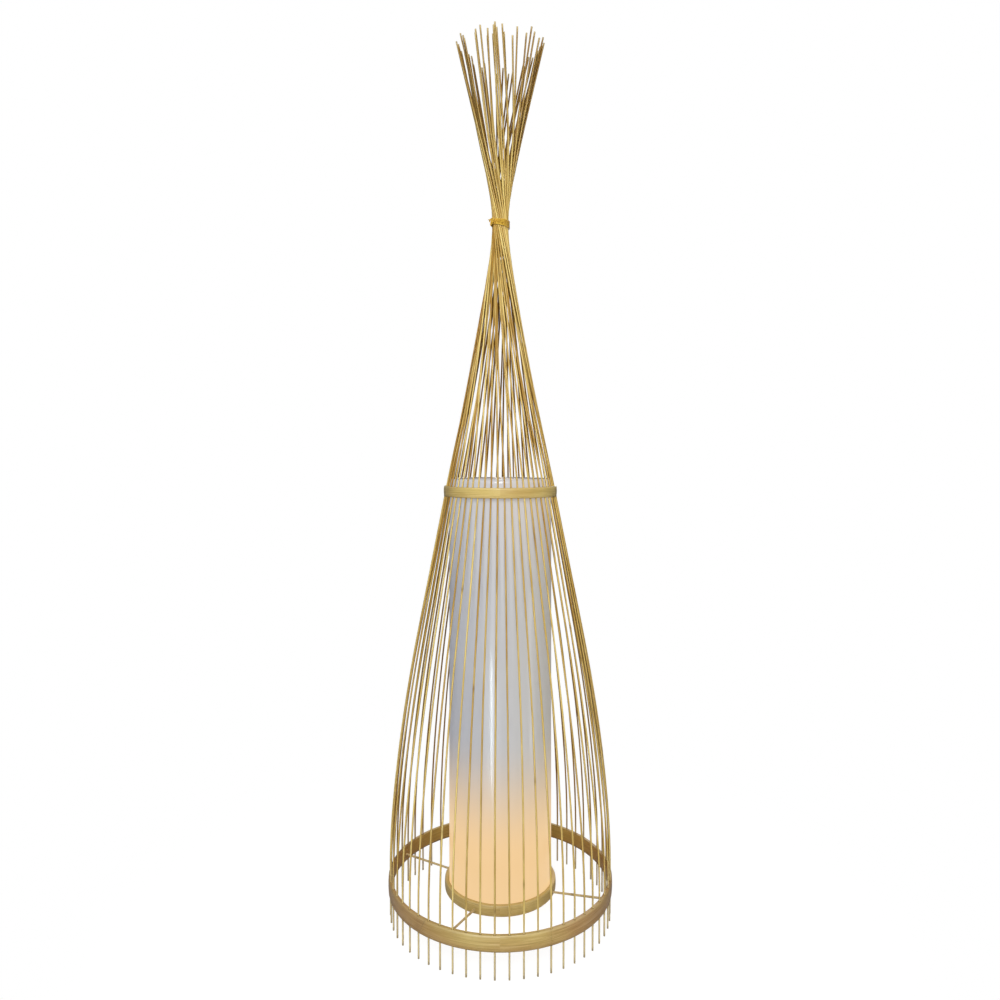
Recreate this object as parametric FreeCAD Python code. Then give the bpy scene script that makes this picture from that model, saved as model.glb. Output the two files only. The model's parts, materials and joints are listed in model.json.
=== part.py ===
import FreeCAD, Part
import math
import os
from FreeCAD import Vector

# Bamboo splint floor lamp.  Millimetres, +Z up, origin on the floor on the lamp's axis,
# front towards -Y.  An azimuth is measured from the front towards +X.

os.makedirs("parts", exist_ok=True)

# ---------------------------------------------------------------- driving dimensions
SPLINTS = 54                 # splints round the lamp, each one piece from floor to fan
SPLINT_R = 1.2               # radius of a splint
SPLINT_AZ0 = -2.5            # azimuth of the splint next to the front
SPLINT_PITCH = 360.0 / SPLINTS
DRILL_R = SPLINT_R + 0.15    # drilled holes in the hoops

# centre line of a splint below the waist hoop: (height, radius), straight runs joined by arcs
BELL = [(0.0, 152.1), (95.0, 152.6), (165.0, 147.8), (250.0, 138.0), (345.0, 122.8)]
WAIST_Z, WAIST_CL_R = 583.4, 76.0
SPREAD_Z = 601.0             # the splints start to lean round the axis here

TIE_Z = 958.0                # middle of the binding
NECK_R = (10.15, 7.4, 4.7)    # outer, middle and inner ring of splints at the binding
NECK_LEAN = 0.0198           # azimuth follows the arctangent of this times the height from the tie
NECK_TURN = 0.92             # share of a straight splint's turn
CONE_SLOPE, FAN_SLOPE = 0.1985, 0.238
RINGS = "OMOIMOMOI"          # which ring each of nine neighbouring splints is in
RING_HOLD, EVEN_HOLD = 1.5, 1.15  # how far below the tie the rings stay apart
TIP_Z, TIP_SPAN, TIP_RISE = 1200.0, 18.0, 12.0
BUNCHES, BUNCH_TURN, BUNCH_START = 3.0, 12.5, -156.0

BASE_HOOP = dict(r_in=149.5, r_out=155.3, z0=34.5, z1=54.5, crown=0.5, edge=0.6)
WAIST_HOOP = dict(r_in=72.9, r_out=79.1, z0=576.4, z1=590.4, crown=0.4, edge=0.5)
SHADE_RING = dict(r_in=71.5, r_out=77.5, z0=31.0, z1=45.0, crown=0.4, edge=0.5)
SCARF_AZ = {"base": -39.17, "waist": 140.83, "ring": 120.0}
SCARF_GAP = 0.2

SPOKE_R = 1.5
SPOKES = {"front": -25.83, "right": 67.5, "back": 154.17, "left": -112.5}
SPOKE_IN, SPOKE_OUT = (74.1, 36.7), (152.1, 44.2)

SHADE_R, SHADE_T = 71.4, 0.8
SHADE_Z0, SHADE_Z1 = 31.5, 600.4
RIM_WIRE_R = 1.0

CORD_R = 0.7                 # binding cord
CORD_TURNS = 5
CORD_CL_R = NECK_R[0] + SPLINT_R + 0.3 + CORD_R

STRIP_W, STRIP_T, STRIP_Z = 18.0, 1.6, 32.0
NIPPLE_R, NIPPLE_BORE = 5.0, 4.0
THREAD_PITCH = 3.62          # standard 27 mm lamp thread
GLOBE_R = 22.5


# ---------------------------------------------------------------- small helpers
def at(az_deg, r, z):
    a = math.radians(az_deg)
    return Vector(r * math.sin(a), -r * math.cos(a), z)


def cyl(r, z0, z1, x=0.0, y=0.0):
    return Part.makeCylinder(r, z1 - z0, Vector(x, y, z0))


def rod(p, q, r):
    d = q - p
    return Part.makeCylinder(r, d.Length, p, d)


def ring(r_in, r_out, z0, z1):
    return cyl(r_out, z0, z1).cut(cyl(r_in, z0 - 1, z1 + 1))


def box(x0, x1, y0, y1, z0, z1):
    return Part.makeBox(x1 - x0, y1 - y0, z1 - z0, Vector(x0, y0, z0))


def lathe(profile):
    """Solid of revolution from (radius, height) points."""
    pts = [Vector(r, 0, z) for r, z in profile]
    face = Part.Face(Part.makePolygon(pts + [pts[0]]))
    return face.revolve(Vector(0, 0, 0), Vector(0, 0, 1), 360)


def fused(shapes):
    out = shapes[0]
    for s in shapes[1:]:
        out = out.fuse(s)
    return out.removeSplitter()


def export(name, shape):
    solids = shape.Solids
    if len(solids) == 0:
        raise RuntimeError(name + " has no solid")
    for s in solids:
        if not s.isValid() or s.Volume <= 0:
            raise RuntimeError(name + " has a bad solid")
    out = solids[0] if len(solids) == 1 else Part.makeCompound(solids)
    out.exportStep("parts/" + name + ".step")
    print("%-18s %2d solids %10.1f mm3" % (name, len(solids), out.Volume))


# ---------------------------------------------------------------- splints
def turn(dz):
    """Azimuth in degrees gained between the waist hoop and a height dz above the tie."""
    start = SPREAD_Z - TIE_Z
    lean = NECK_LEAN if dz < 0 else NECK_LEAN * FAN_SLOPE / CONE_SLOPE
    return -math.degrees(NECK_TURN * (math.atan(lean * dz) - math.atan(NECK_LEAN * start)))


def ring_target(i):
    """Ring index and azimuth correction at the tie, so that the three rings pack evenly."""
    group, k = divmod(i, 9)
    letter = RINGS[k]
    before = RINGS[:k].count(letter)
    if letter == "O":
        wanted, layer = 0.83 + 15.0 * before, 0
    elif letter == "M":
        wanted, layer = 4.44 + 20.0 * before, 1
    else:
        wanted, layer = 21.7 + 30.0 * before, 2
    return layer, wanted - k * SPLINT_PITCH


def tip_azimuth(i):
    """Where a splint ends in the fan: evenly turned, then drawn into loose bunches."""
    az = SPLINT_AZ0 + SPLINT_PITCH * i + ring_target(i)[1] + turn(TIP_Z - TIE_Z)
    return az + BUNCH_TURN * math.sin(math.radians(BUNCHES * az + BUNCH_START))


def tip_height(i):
    """Cut by eye, so no two are level, and a little higher at the two sides."""
    uneven = (i * 0.6180339887 + 0.37) % 1.0 - 0.5
    return TIP_Z + TIP_SPAN * uneven + TIP_RISE * math.sin(math.radians(tip_azimuth(i))) ** 2


def straight_r(z):
    z0, r0 = BELL[-1]
    return r0 + (WAIST_CL_R - r0) * (z - z0) / (WAIST_Z - z0)


LEVELS = (-230.0, -120.0, -60.0, -20.0, 20.0, 60.0, 120.0)


def splint_path(i):
    """Corner points of a splint's centre line and how far its arcs reach along each side."""
    az = SPLINT_AZ0 + SPLINT_PITCH * i
    layer, correction = ring_target(i)
    pts = [at(az, r, z) for z, r in BELL]
    reach = [0.0, 34.0, 34.0, 40.0, 46.0]
    pts.append(at(az, straight_r(SPREAD_Z), SPREAD_Z))
    reach.append(8.0)
    far = TIE_Z - SPREAD_Z
    for dz in LEVELS:
        slope = CONE_SLOPE if dz < 0 else FAN_SLOPE
        outer = math.hypot(NECK_R[0], slope * dz)
        fade = max(0.0, 1.0 - abs(dz) / far)
        behind = NECK_R[0] - NECK_R[layer]
        if dz < 0:
            r = outer - behind * min(1.0, fade * RING_HOLD)
            w = min(1.0, fade * EVEN_HOLD)
        else:
            r = outer - behind
            w = 1.0
        pts.append(at(az + correction * w + turn(dz), r, TIE_Z + dz))
        reach.append(16.0 if abs(dz) < 100 else 26.0)
    z = tip_height(i)
    r = math.hypot(NECK_R[0], FAN_SLOPE * (z - TIE_Z)) - (0.0, 3.0, 6.0)[layer]
    pts.append(at(tip_azimuth(i), r, z))
    reach.append(0.0)
    return pts, reach


def rounded_wire(pts, reach):
    """Straight runs joined by tangent arcs."""
    edges = []
    start = pts[0]
    for j in range(1, len(pts) - 1):
        p = pts[j]
        u = (pts[j - 1] - p).normalize()
        w = (pts[j + 1] - p).normalize()
        t = reach[j]
        half = 0.5 * math.acos(max(-1.0, min(1.0, u.dot(w))))
        p1, p2 = p + u * t, p + w * t
        side = (u + w).normalize()
        centre = p + side * (t / math.cos(half))
        middle = centre - side * (t * math.tan(half))
        edges.append(Part.LineSegment(start, p1).toShape())
        edges.append(Part.Arc(p1, middle, p2).toShape())
        start = p2
    edges.append(Part.LineSegment(start, pts[-1]).toShape())
    return Part.Wire(edges)


def splint(i):
    pts, reach = splint_path(i)
    profile = Part.Wire(Part.makeCircle(SPLINT_R, pts[0], Vector(0, 0, 1)))
    solid = rounded_wire(pts, reach).makePipeShell([profile], True, False)
    return solid.Solids[0] if solid.Solids else Part.Solid(solid)


def make_splints():
    per_node = 3
    for n in range(SPLINTS // per_node):
        group = [splint(n * per_node + j) for j in range(per_node)]
        export("splints_%02d" % (n + 1), Part.makeCompound(group))


# ---------------------------------------------------------------- hoops, ring and spokes
def hoop_blank(r_in, r_out, z0, z1, crown, edge):
    """Bent bamboo strip: flat inside, slightly crowned outside, eased edges."""
    zm = 0.5 * (z0 + z1)
    a = Vector(r_in, 0, z0)
    b = Vector(r_out - crown - edge, 0, z0)
    c = Vector(r_out - crown, 0, z0 + edge)
    m = Vector(r_out, 0, zm)
    d = Vector(r_out - crown, 0, z1 - edge)
    e = Vector(r_out - crown - edge, 0, z1)
    f = Vector(r_in, 0, z1)
    edges = [Part.LineSegment(a, b).toShape(), Part.LineSegment(b, c).toShape(),
             Part.Arc(c, m, d).toShape(), Part.LineSegment(d, e).toShape(),
             Part.LineSegment(e, f).toShape(), Part.LineSegment(f, a).toShape()]
    return Part.Face(Part.Wire(edges)).revolve(Vector(0, 0, 0), Vector(0, 0, 1), 360)


def scarf_cut(az, r_in, r_out, z0, z1):
    """Thin slanting slit where the two ends of the strip are lapped."""
    rm = 0.5 * (r_in + r_out)
    slit = Part.makeBox(40, SCARF_GAP, z1 - z0 + 4, Vector(-20, -SCARF_GAP / 2, z0 - 2))
    slit = slit.common(Part.makeBox(20, 4, z1 - z0 + 4, Vector(-10, -2, z0 - 2)))
    slit.rotate(Vector(0, 0, 0), Vector(0, 0, 1), 32)
    slit.translate(Vector(0, -rm, 0))
    slit.rotate(Vector(0, 0, 0), Vector(0, 0, 1), az)
    return slit


def drill_rods(z_low, z_high, radius_of):
    return [rod(at(SPLINT_AZ0 + SPLINT_PITCH * i, radius_of(z_low), z_low),
                at(SPLINT_AZ0 + SPLINT_PITCH * i, radius_of(z_high), z_high), DRILL_R)
            for i in range(SPLINTS)]


def bell_foot_r(z):
    (z0, r0), (z1, r1) = BELL[0], BELL[1]
    return r0 + (r1 - r0) * (z - z0) / (z1 - z0)


def spoke_rod(az, r, extra=0.0):
    p = at(az, SPOKE_IN[0], SPOKE_IN[1])
    q = at(az, SPOKE_OUT[0], SPOKE_OUT[1])
    d = (q - p).normalize()
    return rod(p - d * extra, q + d * extra, r)


def make_frame():
    spoke_holes = [spoke_rod(az, SPOKE_R + 0.1, 0.2) for az in SPOKES.values()]
    base = hoop_blank(**BASE_HOOP)
    base = base.cut(Part.makeCompound(drill_rods(25.0, 65.0, bell_foot_r)))
    base = base.cut(Part.makeCompound(spoke_holes))
    base = base.cut(scarf_cut(SCARF_AZ["base"], BASE_HOOP["r_in"], BASE_HOOP["r_out"],
                              BASE_HOOP["z0"], BASE_HOOP["z1"]))
    export("base_hoop", base)

    waist = hoop_blank(**WAIST_HOOP)
    waist = waist.cut(Part.makeCompound(drill_rods(570.0, 597.0, straight_r)))
    waist = waist.cut(scarf_cut(SCARF_AZ["waist"], WAIST_HOOP["r_in"], WAIST_HOOP["r_out"],
                                WAIST_HOOP["z0"], WAIST_HOOP["z1"]))
    export("waist_hoop", waist)

    shade_ring = hoop_blank(**SHADE_RING)
    shade_ring = shade_ring.cut(Part.makeCompound(spoke_holes))
    shade_ring = shade_ring.cut(Part.makeCompound(bracket_screw_holes(76.0)))
    shade_ring = shade_ring.cut(scarf_cut(SCARF_AZ["ring"], SHADE_RING["r_in"],
                                          SHADE_RING["r_out"], SHADE_RING["z0"],
                                          SHADE_RING["z1"]))
    export("shade_ring", shade_ring)
    for name, az in SPOKES.items():
        export("spoke_" + name, spoke_rod(az, SPOKE_R))


# ---------------------------------------------------------------- shade
SCREW_Z = 39.0


def bracket_screw_holes(r_end):
    return [rod(Vector(60 * s, 0, SCREW_Z), Vector(r_end * s, 0, SCREW_Z), 1.5)
            for s in (-1, 1)]


def make_shade():
    tube = ring(SHADE_R - SHADE_T, SHADE_R, SHADE_Z0, SHADE_Z1)
    lap = ring(SHADE_R - SHADE_T - 0.4, SHADE_R - SHADE_T + 0.2, 48.0, SHADE_Z1 - 4.0)
    lap = lap.common(box(-5, 5, 60, 80, 0, 700))
    tube = tube.fuse(lap).removeSplitter()
    tube = tube.cut(Part.makeCompound(bracket_screw_holes(78.0)))
    export("shade_tube", tube)
    wire = Part.makeTorus(SHADE_R - SHADE_T - 0.1 - RIM_WIRE_R, RIM_WIRE_R,
                          Vector(0, 0, SHADE_Z1 - 1.2), Vector(0, 0, 1))
    export("shade_top_ring", wire)


# ---------------------------------------------------------------- binding
def make_binding():
    pitch = 2 * CORD_R + 0.15
    height = pitch * CORD_TURNS
    helix = Part.makeHelix(pitch, height, CORD_CL_R)
    profile = Part.Wire(Part.makeCircle(CORD_R, Vector(CORD_CL_R, 0, 0), Vector(0, 1, 0)))
    coil = Part.Wire(helix).makePipeShell([profile], True, True)
    coil.translate(Vector(0, 0, TIE_Z - height / 2))
    coil.rotate(Vector(0, 0, 0), Vector(0, 0, 1), 172)
    export("binding_cord", coil)

    c = Vector(-15.6, -3.3, TIE_Z + 0.6)
    lump = Part.makeSphere(2.1, c)
    wrap = Part.makeTorus(1.9, 0.8, c, Vector(0.9, 0.1, 0.35))
    tails = []
    for tip, mid in ((Vector(-19.0, -4.4, TIE_Z + 3.2), Vector(-17.4, -4.6, TIE_Z + 1.2)),
                     (Vector(-17.8, -6.6, TIE_Z - 4.6), Vector(-16.4, -5.6, TIE_Z - 1.8))):
        path = Part.Wire([Part.Arc(c, mid, tip).toShape()])
        d = (mid - c)
        prof = Part.Wire(Part.makeCircle(0.65, c, path.Edges[0].tangentAt(
            path.Edges[0].FirstParameter)))
        tails.append(path.makePipeShell([prof], True, False))
    knot = fused([lump, wrap] + tails)
    knot.rotate(Vector(0, 0, 0), Vector(0, 0, 1), 30)
    export("binding_knot", knot)


# ---------------------------------------------------------------- bracket and holder
def make_bracket():
    flat = box(-75, 75, -STRIP_W / 2, STRIP_W / 2, STRIP_Z, STRIP_Z + STRIP_T)
    flat = flat.common(cyl(SHADE_R - SHADE_T - 0.1, 0, 60))
    tabs = ring(SHADE_R - SHADE_T - 0.1 - STRIP_T, SHADE_R - SHADE_T - 0.1, STRIP_Z, STRIP_Z + 13)
    tabs = tabs.common(box(-75, 75, -STRIP_W / 2, STRIP_W / 2, 0, 100))
    bracket = fused([flat] + tabs.Solids)
    bracket = bracket.cut(cyl(NIPPLE_R + 0.15, 0, 60))
    bracket = bracket.cut(Part.makeCompound(bracket_screw_holes(78.0)))
    export("socket_bracket", bracket)

    screws = []
    face = SHADE_R - SHADE_T - 0.1 - STRIP_T
    for s in (-1, 1):
        shank = rod(Vector(s * (face - 0.5), 0, SCREW_Z), Vector(s * 75.6, 0, SCREW_Z), 1.35)
        head = Part.makeSphere(3.0, Vector(s * (face + 0.9), 0, SCREW_Z))
        keep = box(face - 6, face - 0.3, -5, 5, SCREW_Z - 5, SCREW_Z + 5) if s > 0 else \
            box(-face + 0.3, -face + 6, -5, 5, SCREW_Z - 5, SCREW_Z + 5)
        head = head.common(keep)
        slot = box(-80, 80, -0.4, 0.4, SCREW_Z - 1.8, SCREW_Z + 1.8)
        slot = slot.common(ring(face - 4.0, face - 1.5, 0, 60))
        screws.append(fused([shank, head]).cut(slot))
    export("bracket_screws", Part.makeCompound(screws))


def hexagon(across_flats, z0, z1):
    r = across_flats / math.sqrt(3.0)
    pts = [Vector(r * math.cos(math.radians(60 * k)), r * math.sin(math.radians(60 * k)), z0)
           for k in range(7)]
    return Part.Face(Part.makePolygon(pts)).extrude(Vector(0, 0, z1 - z0))


def make_entry():
    nipple = ring(NIPPLE_BORE, NIPPLE_R, 23.0, 41.0)
    export("nipple", nipple)
    top = STRIP_Z + STRIP_T
    washers = [ring(NIPPLE_R + 0.15, 9.0, STRIP_Z - 1.25, STRIP_Z - 0.05),
               ring(NIPPLE_R + 0.15, 9.0, top + 0.05, top + 1.15)]
    export("nipple_washers", Part.makeCompound(washers))
    nut = hexagon(14.0, STRIP_Z - 5.3, STRIP_Z - 1.3).cut(cyl(NIPPLE_R + 0.05, 0, 60))
    export("nipple_nut", nut)
    gland = lathe([(3.5, 12.0), (6.2, 12.0), (8.0, 14.5), (8.0, 26.5), (5.05, 26.5),
                   (5.05, 22.9), (3.5, 22.9)])
    grip = [rod(Vector(9.2 * math.cos(a), 9.2 * math.sin(a), 15.5),
                Vector(9.2 * math.cos(a), 9.2 * math.sin(a), 27.0), 1.9)
            for a in [math.radians(45 * k) for k in range(8)]]
    export("cord_gland", gland.cut(Part.makeCompound(grip)))


def make_holder():
    z = STRIP_Z + STRIP_T + 1.2
    cap = lathe([(NIPPLE_R + 0.05, z), (13.0, z), (19.0, z + 9.0), (19.0, 56.0), (15.2, 56.0),
                 (15.2, 54.5), (17.0, 54.5), (17.0, z + 9.6), (12.2, z + 3.0),
                 (NIPPLE_R + 0.05, z + 3.0)])
    export("holder_cap", cap)
    insert = lathe([(0.0, 59.0), (15.3, 59.0), (15.3, 56.05), (16.8, 56.05), (16.8, 66.0),
                    (0.0, 66.0)])
    holes = [cyl(1.3, 58.0, 64.0, s * 9.0, 0.0) for s in (-1, 1)]
    insert = insert.cut(Part.makeCompound(holes))
    export("holder_insert", insert)
    screws = []
    for s in (-1, 1):
        head = cyl(2.6, 56.9, 58.9, s * 9.0, 0.0).cut(
            box(s * 9.0 - 4, s * 9.0 + 4, -0.4, 0.4, 56.0, 57.7))
        screws.append(fused([head, cyl(1.2, 58.5, 63.5, s * 9.0, 0.0)]))
    export("terminal_screws", Part.makeCompound(screws))

    body = lathe([(17.0, 56.05), (19.0, 56.05), (19.0, 90.0), (14.2, 90.0), (14.2, 88.4),
                  (17.0, 88.4)])
    ribs = [rod(Vector(19.9 * math.cos(a), 19.9 * math.sin(a), 60.0),
                Vector(19.9 * math.cos(a), 19.9 * math.sin(a), 84.0), 1.2)
            for a in [math.radians(20 * k) for k in range(18)]]
    export("holder_body", body.cut(Part.makeCompound(ribs)))

    foot = box(-2.5, 2.5, -9.0, 3.5, 66.05, 66.55)
    export("centre_contact", fused([foot, cyl(2.0, 66.4, 66.95)]))
    side = fused([box(11.0, 15.0, -2.5, 2.5, 66.05, 66.55), box(14.4, 15.0, -2.5, 2.5, 66.05, 80.0)])
    export("side_contact", side)
    leads = []
    for s in (-1, 1):
        path = Part.Wire([
            Part.LineSegment(Vector(s * 1.6, 0, 28.5), Vector(s * 1.6, 0, 42.0)).toShape(),
            Part.Arc(Vector(s * 1.6, 0, 42.0), Vector(s * (1.6 + 3.7 * 0.293), 0, 42 + 3.7 * 0.707),
                     Vector(s * 5.3, 0, 45.7)).toShape(),
            Part.Arc(Vector(s * 5.3, 0, 45.7), Vector(s * (5.3 + 3.7 * 0.707), 0, 49.4 - 3.7 * 0.707),
                     Vector(s * 9.0, 0, 49.4)).toShape(),
            Part.LineSegment(Vector(s * 9.0, 0, 49.4), Vector(s * 9.0, 0, 56.85)).toShape()])
        prof = Part.Wire(Part.makeCircle(1.0, Vector(s * 1.6, 0, 28.5), Vector(0, 0, 1)))
        leads.append(path.makePipeShell([prof], True, False))
    export("lead_wires", Part.makeCompound(leads))


# ---------------------------------------------------------------- lamp thread and bulb
def thread_ridge(r_centre, section_r, z0, turns):
    helix = Part.makeHelix(THREAD_PITCH, THREAD_PITCH * turns, r_centre)
    prof = Part.Wire(Part.makeCircle(section_r, Vector(r_centre, 0, 0), Vector(0, 1, 0)))
    ridge = Part.Wire(helix).makePipeShell([prof], True, True)
    ridge.translate(Vector(0, 0, z0))
    return ridge


BULB_Z = 67.0                # underside of the bulb's tip contact


def make_thread():
    shell = ring(13.5, 14.1, 66.7, 88.2)
    inner = thread_ridge(13.5, 0.7, 73.0 - THREAD_PITCH / 2, 4)
    inner = inner.common(cyl(13.8, 0, 200))
    export("screw_shell", shell.fuse(inner))

    cap = ring(11.5, 12.1, 71.0, 92.0)
    outer = thread_ridge(12.1, 0.95, 73.0, 4)
    outer = outer.cut(cyl(11.8, 0, 200))
    export("bulb_screw_cap", cap.fuse(outer))


def make_bulb():
    tip = lathe([(0.0, BULB_Z), (3.0, BULB_Z), (4.4, BULB_Z + 1.0), (4.4, BULB_Z + 2.0),
                 (0.0, BULB_Z + 2.0)])
    export("bulb_contact", tip)
    insulator = lathe([(0.0, 69.05), (4.8, 69.05), (11.4, 70.95), (11.4, 73.0), (0.0, 73.0)])
    export("bulb_insulator", insulator)
    housing = lathe([(12.2, 90.2), (13.6, 90.2), (17.4, 100.0), (17.4, 106.4), (16.2, 106.4),
                     (16.2, 101.0), (12.6, 91.4), (12.2, 91.4)])
    export("bulb_housing", housing)
    board = cyl(15.6, 104.2, 105.8).cut(cyl(1.0, 104, 106))
    export("led_board", board)
    chips = [Part.makeBox(3.0, 3.0, 0.8, Vector(9 * math.cos(a) - 1.5, 9 * math.sin(a) - 1.5, 105.85))
             for a in [math.radians(60 * k) for k in range(6)]]
    export("led_chips", Part.makeCompound(chips))
    driver = fused([box(-9.5, 9.5, -0.8, 0.8, 75.0, 103.0), box(-6.0, 2.0, 0.7, 6.0, 80.0, 88.0),
                    box(3.0, 8.0, 0.7, 5.0, 92.0, 100.0)])
    export("bulb_driver", driver)
    zc = 106.55 + math.sqrt(GLOBE_R ** 2 - 17.2 ** 2)
    globe = Part.makeSphere(GLOBE_R, Vector(0, 0, zc)).cut(
        Part.makeSphere(GLOBE_R - 1.0, Vector(0, 0, zc)))
    globe = globe.cut(cyl(40, 0, 106.5))
    export("bulb_globe", globe)


def main():
    make_splints()
    make_frame()
    make_shade()
    make_binding()
    make_bracket()
    make_entry()
    make_holder()
    make_thread()
    make_bulb()


main()
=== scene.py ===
"""Looks of the bamboo splint floor lamp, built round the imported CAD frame."""

import json
import math
import random

import bpy
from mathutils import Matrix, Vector, noise


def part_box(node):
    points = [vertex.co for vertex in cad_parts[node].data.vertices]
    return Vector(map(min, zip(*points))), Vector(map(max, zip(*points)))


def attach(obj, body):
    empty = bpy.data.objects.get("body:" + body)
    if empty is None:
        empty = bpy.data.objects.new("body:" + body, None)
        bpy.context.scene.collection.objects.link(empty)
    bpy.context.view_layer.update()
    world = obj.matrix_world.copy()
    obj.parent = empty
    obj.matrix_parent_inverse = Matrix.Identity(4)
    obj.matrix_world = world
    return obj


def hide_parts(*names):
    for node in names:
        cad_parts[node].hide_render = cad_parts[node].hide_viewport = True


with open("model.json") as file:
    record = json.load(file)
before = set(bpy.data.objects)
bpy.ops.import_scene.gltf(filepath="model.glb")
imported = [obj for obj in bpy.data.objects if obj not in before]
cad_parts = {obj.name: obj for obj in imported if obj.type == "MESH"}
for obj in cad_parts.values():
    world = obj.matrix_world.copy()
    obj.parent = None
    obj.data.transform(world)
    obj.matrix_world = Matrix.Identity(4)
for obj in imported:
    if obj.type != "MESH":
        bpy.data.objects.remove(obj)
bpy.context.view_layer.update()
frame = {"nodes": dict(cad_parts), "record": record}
NODES = frame["nodes"]
MM = 0.001


# ------------------------------------------------------------------ colours and node helper
def srgb(r, g, b):
    """A colour given from 0 to 255, as a shader wants it."""
    def lin(c):
        c /= 255.0
        return c / 12.92 if c <= 0.04045 else ((c + 0.055) / 1.055) ** 2.4
    return (lin(r), lin(g), lin(b), 1.0)


class Graph:
    """A material's node tree, with short calls for the nodes used here."""

    def __init__(self, name):
        self.material = bpy.data.materials.new(name)
        self.material.use_nodes = True
        self.tree = self.material.node_tree
        self.tree.nodes.clear()
        self.out = self.tree.nodes.new("ShaderNodeOutputMaterial")
        self.bsdf = self.tree.nodes.new("ShaderNodeBsdfPrincipled")
        self.link(self.bsdf.outputs[0], self.out.inputs[0])

    def link(self, a, b):
        self.tree.links.new(a, b)

    def node(self, kind, **settings):
        n = self.tree.nodes.new(kind)
        for k, v in settings.items():
            setattr(n, k, v)
        return n

    def put(self, value, socket):
        if hasattr(value, "is_output"):
            self.link(value, socket)
        else:
            socket.default_value = value

    def math(self, op, a, b=0.0, clamp=False):
        n = self.node("ShaderNodeMath", operation=op, use_clamp=clamp)
        self.put(a, n.inputs[0])
        self.put(b, n.inputs[1])
        return n.outputs[0]

    def attribute(self, name, vector=False):
        n = self.node("ShaderNodeAttribute", attribute_name=name)
        return n.outputs["Vector" if vector else "Fac"]

    def position(self):
        return self.node("ShaderNodeTexCoord").outputs["Object"]

    def scaled(self, vector, scale, shift=(0, 0, 0)):
        n = self.node("ShaderNodeMapping")
        self.link(vector, n.inputs["Vector"])
        n.inputs["Scale"].default_value = scale
        n.inputs["Location"].default_value = shift
        return n.outputs[0]

    def noise(self, vector, scale=1.0, detail=3.0, rough=0.55):
        n = self.node("ShaderNodeTexNoise")
        self.link(vector, n.inputs["Vector"])
        n.inputs["Scale"].default_value = scale
        n.inputs["Detail"].default_value = detail
        n.inputs["Roughness"].default_value = rough
        return n.outputs["Fac"]

    def ramp(self, fac, *stops):
        n = self.node("ShaderNodeValToRGB")
        self.link(fac, n.inputs[0])
        ramp = n.color_ramp
        while len(ramp.elements) < len(stops):
            ramp.elements.new(0.5)
        for e, (where, colour) in zip(ramp.elements, stops):
            e.position = where
            e.color = colour if len(colour) == 4 else (*colour, 1.0)
        return n.outputs[0]

    def mix(self, fac, a, b):
        n = self.node("ShaderNodeMix", data_type="RGBA")
        self.put(fac, n.inputs[0])
        self.put(a, n.inputs[6])
        self.put(b, n.inputs[7])
        return n.outputs[2]

    def between(self, value, low, high, out_low=0.0, out_high=1.0, kind="LINEAR"):
        n = self.node("ShaderNodeMapRange", interpolation_type=kind)
        self.put(value, n.inputs["Value"])
        n.inputs["From Min"].default_value = low
        n.inputs["From Max"].default_value = high
        n.inputs["To Min"].default_value = out_low
        n.inputs["To Max"].default_value = out_high
        return n.outputs["Result"]

    def bump(self, height, distance, strength=1.0):
        n = self.node("ShaderNodeBump")
        self.link(height, n.inputs["Height"])
        n.inputs["Distance"].default_value = distance
        n.inputs["Strength"].default_value = strength
        self.link(n.outputs[0], self.bsdf.inputs["Normal"])

    def set(self, **sockets):
        for k, v in sockets.items():
            self.put(v, self.bsdf.inputs[k.replace("_", " ")])


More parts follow.
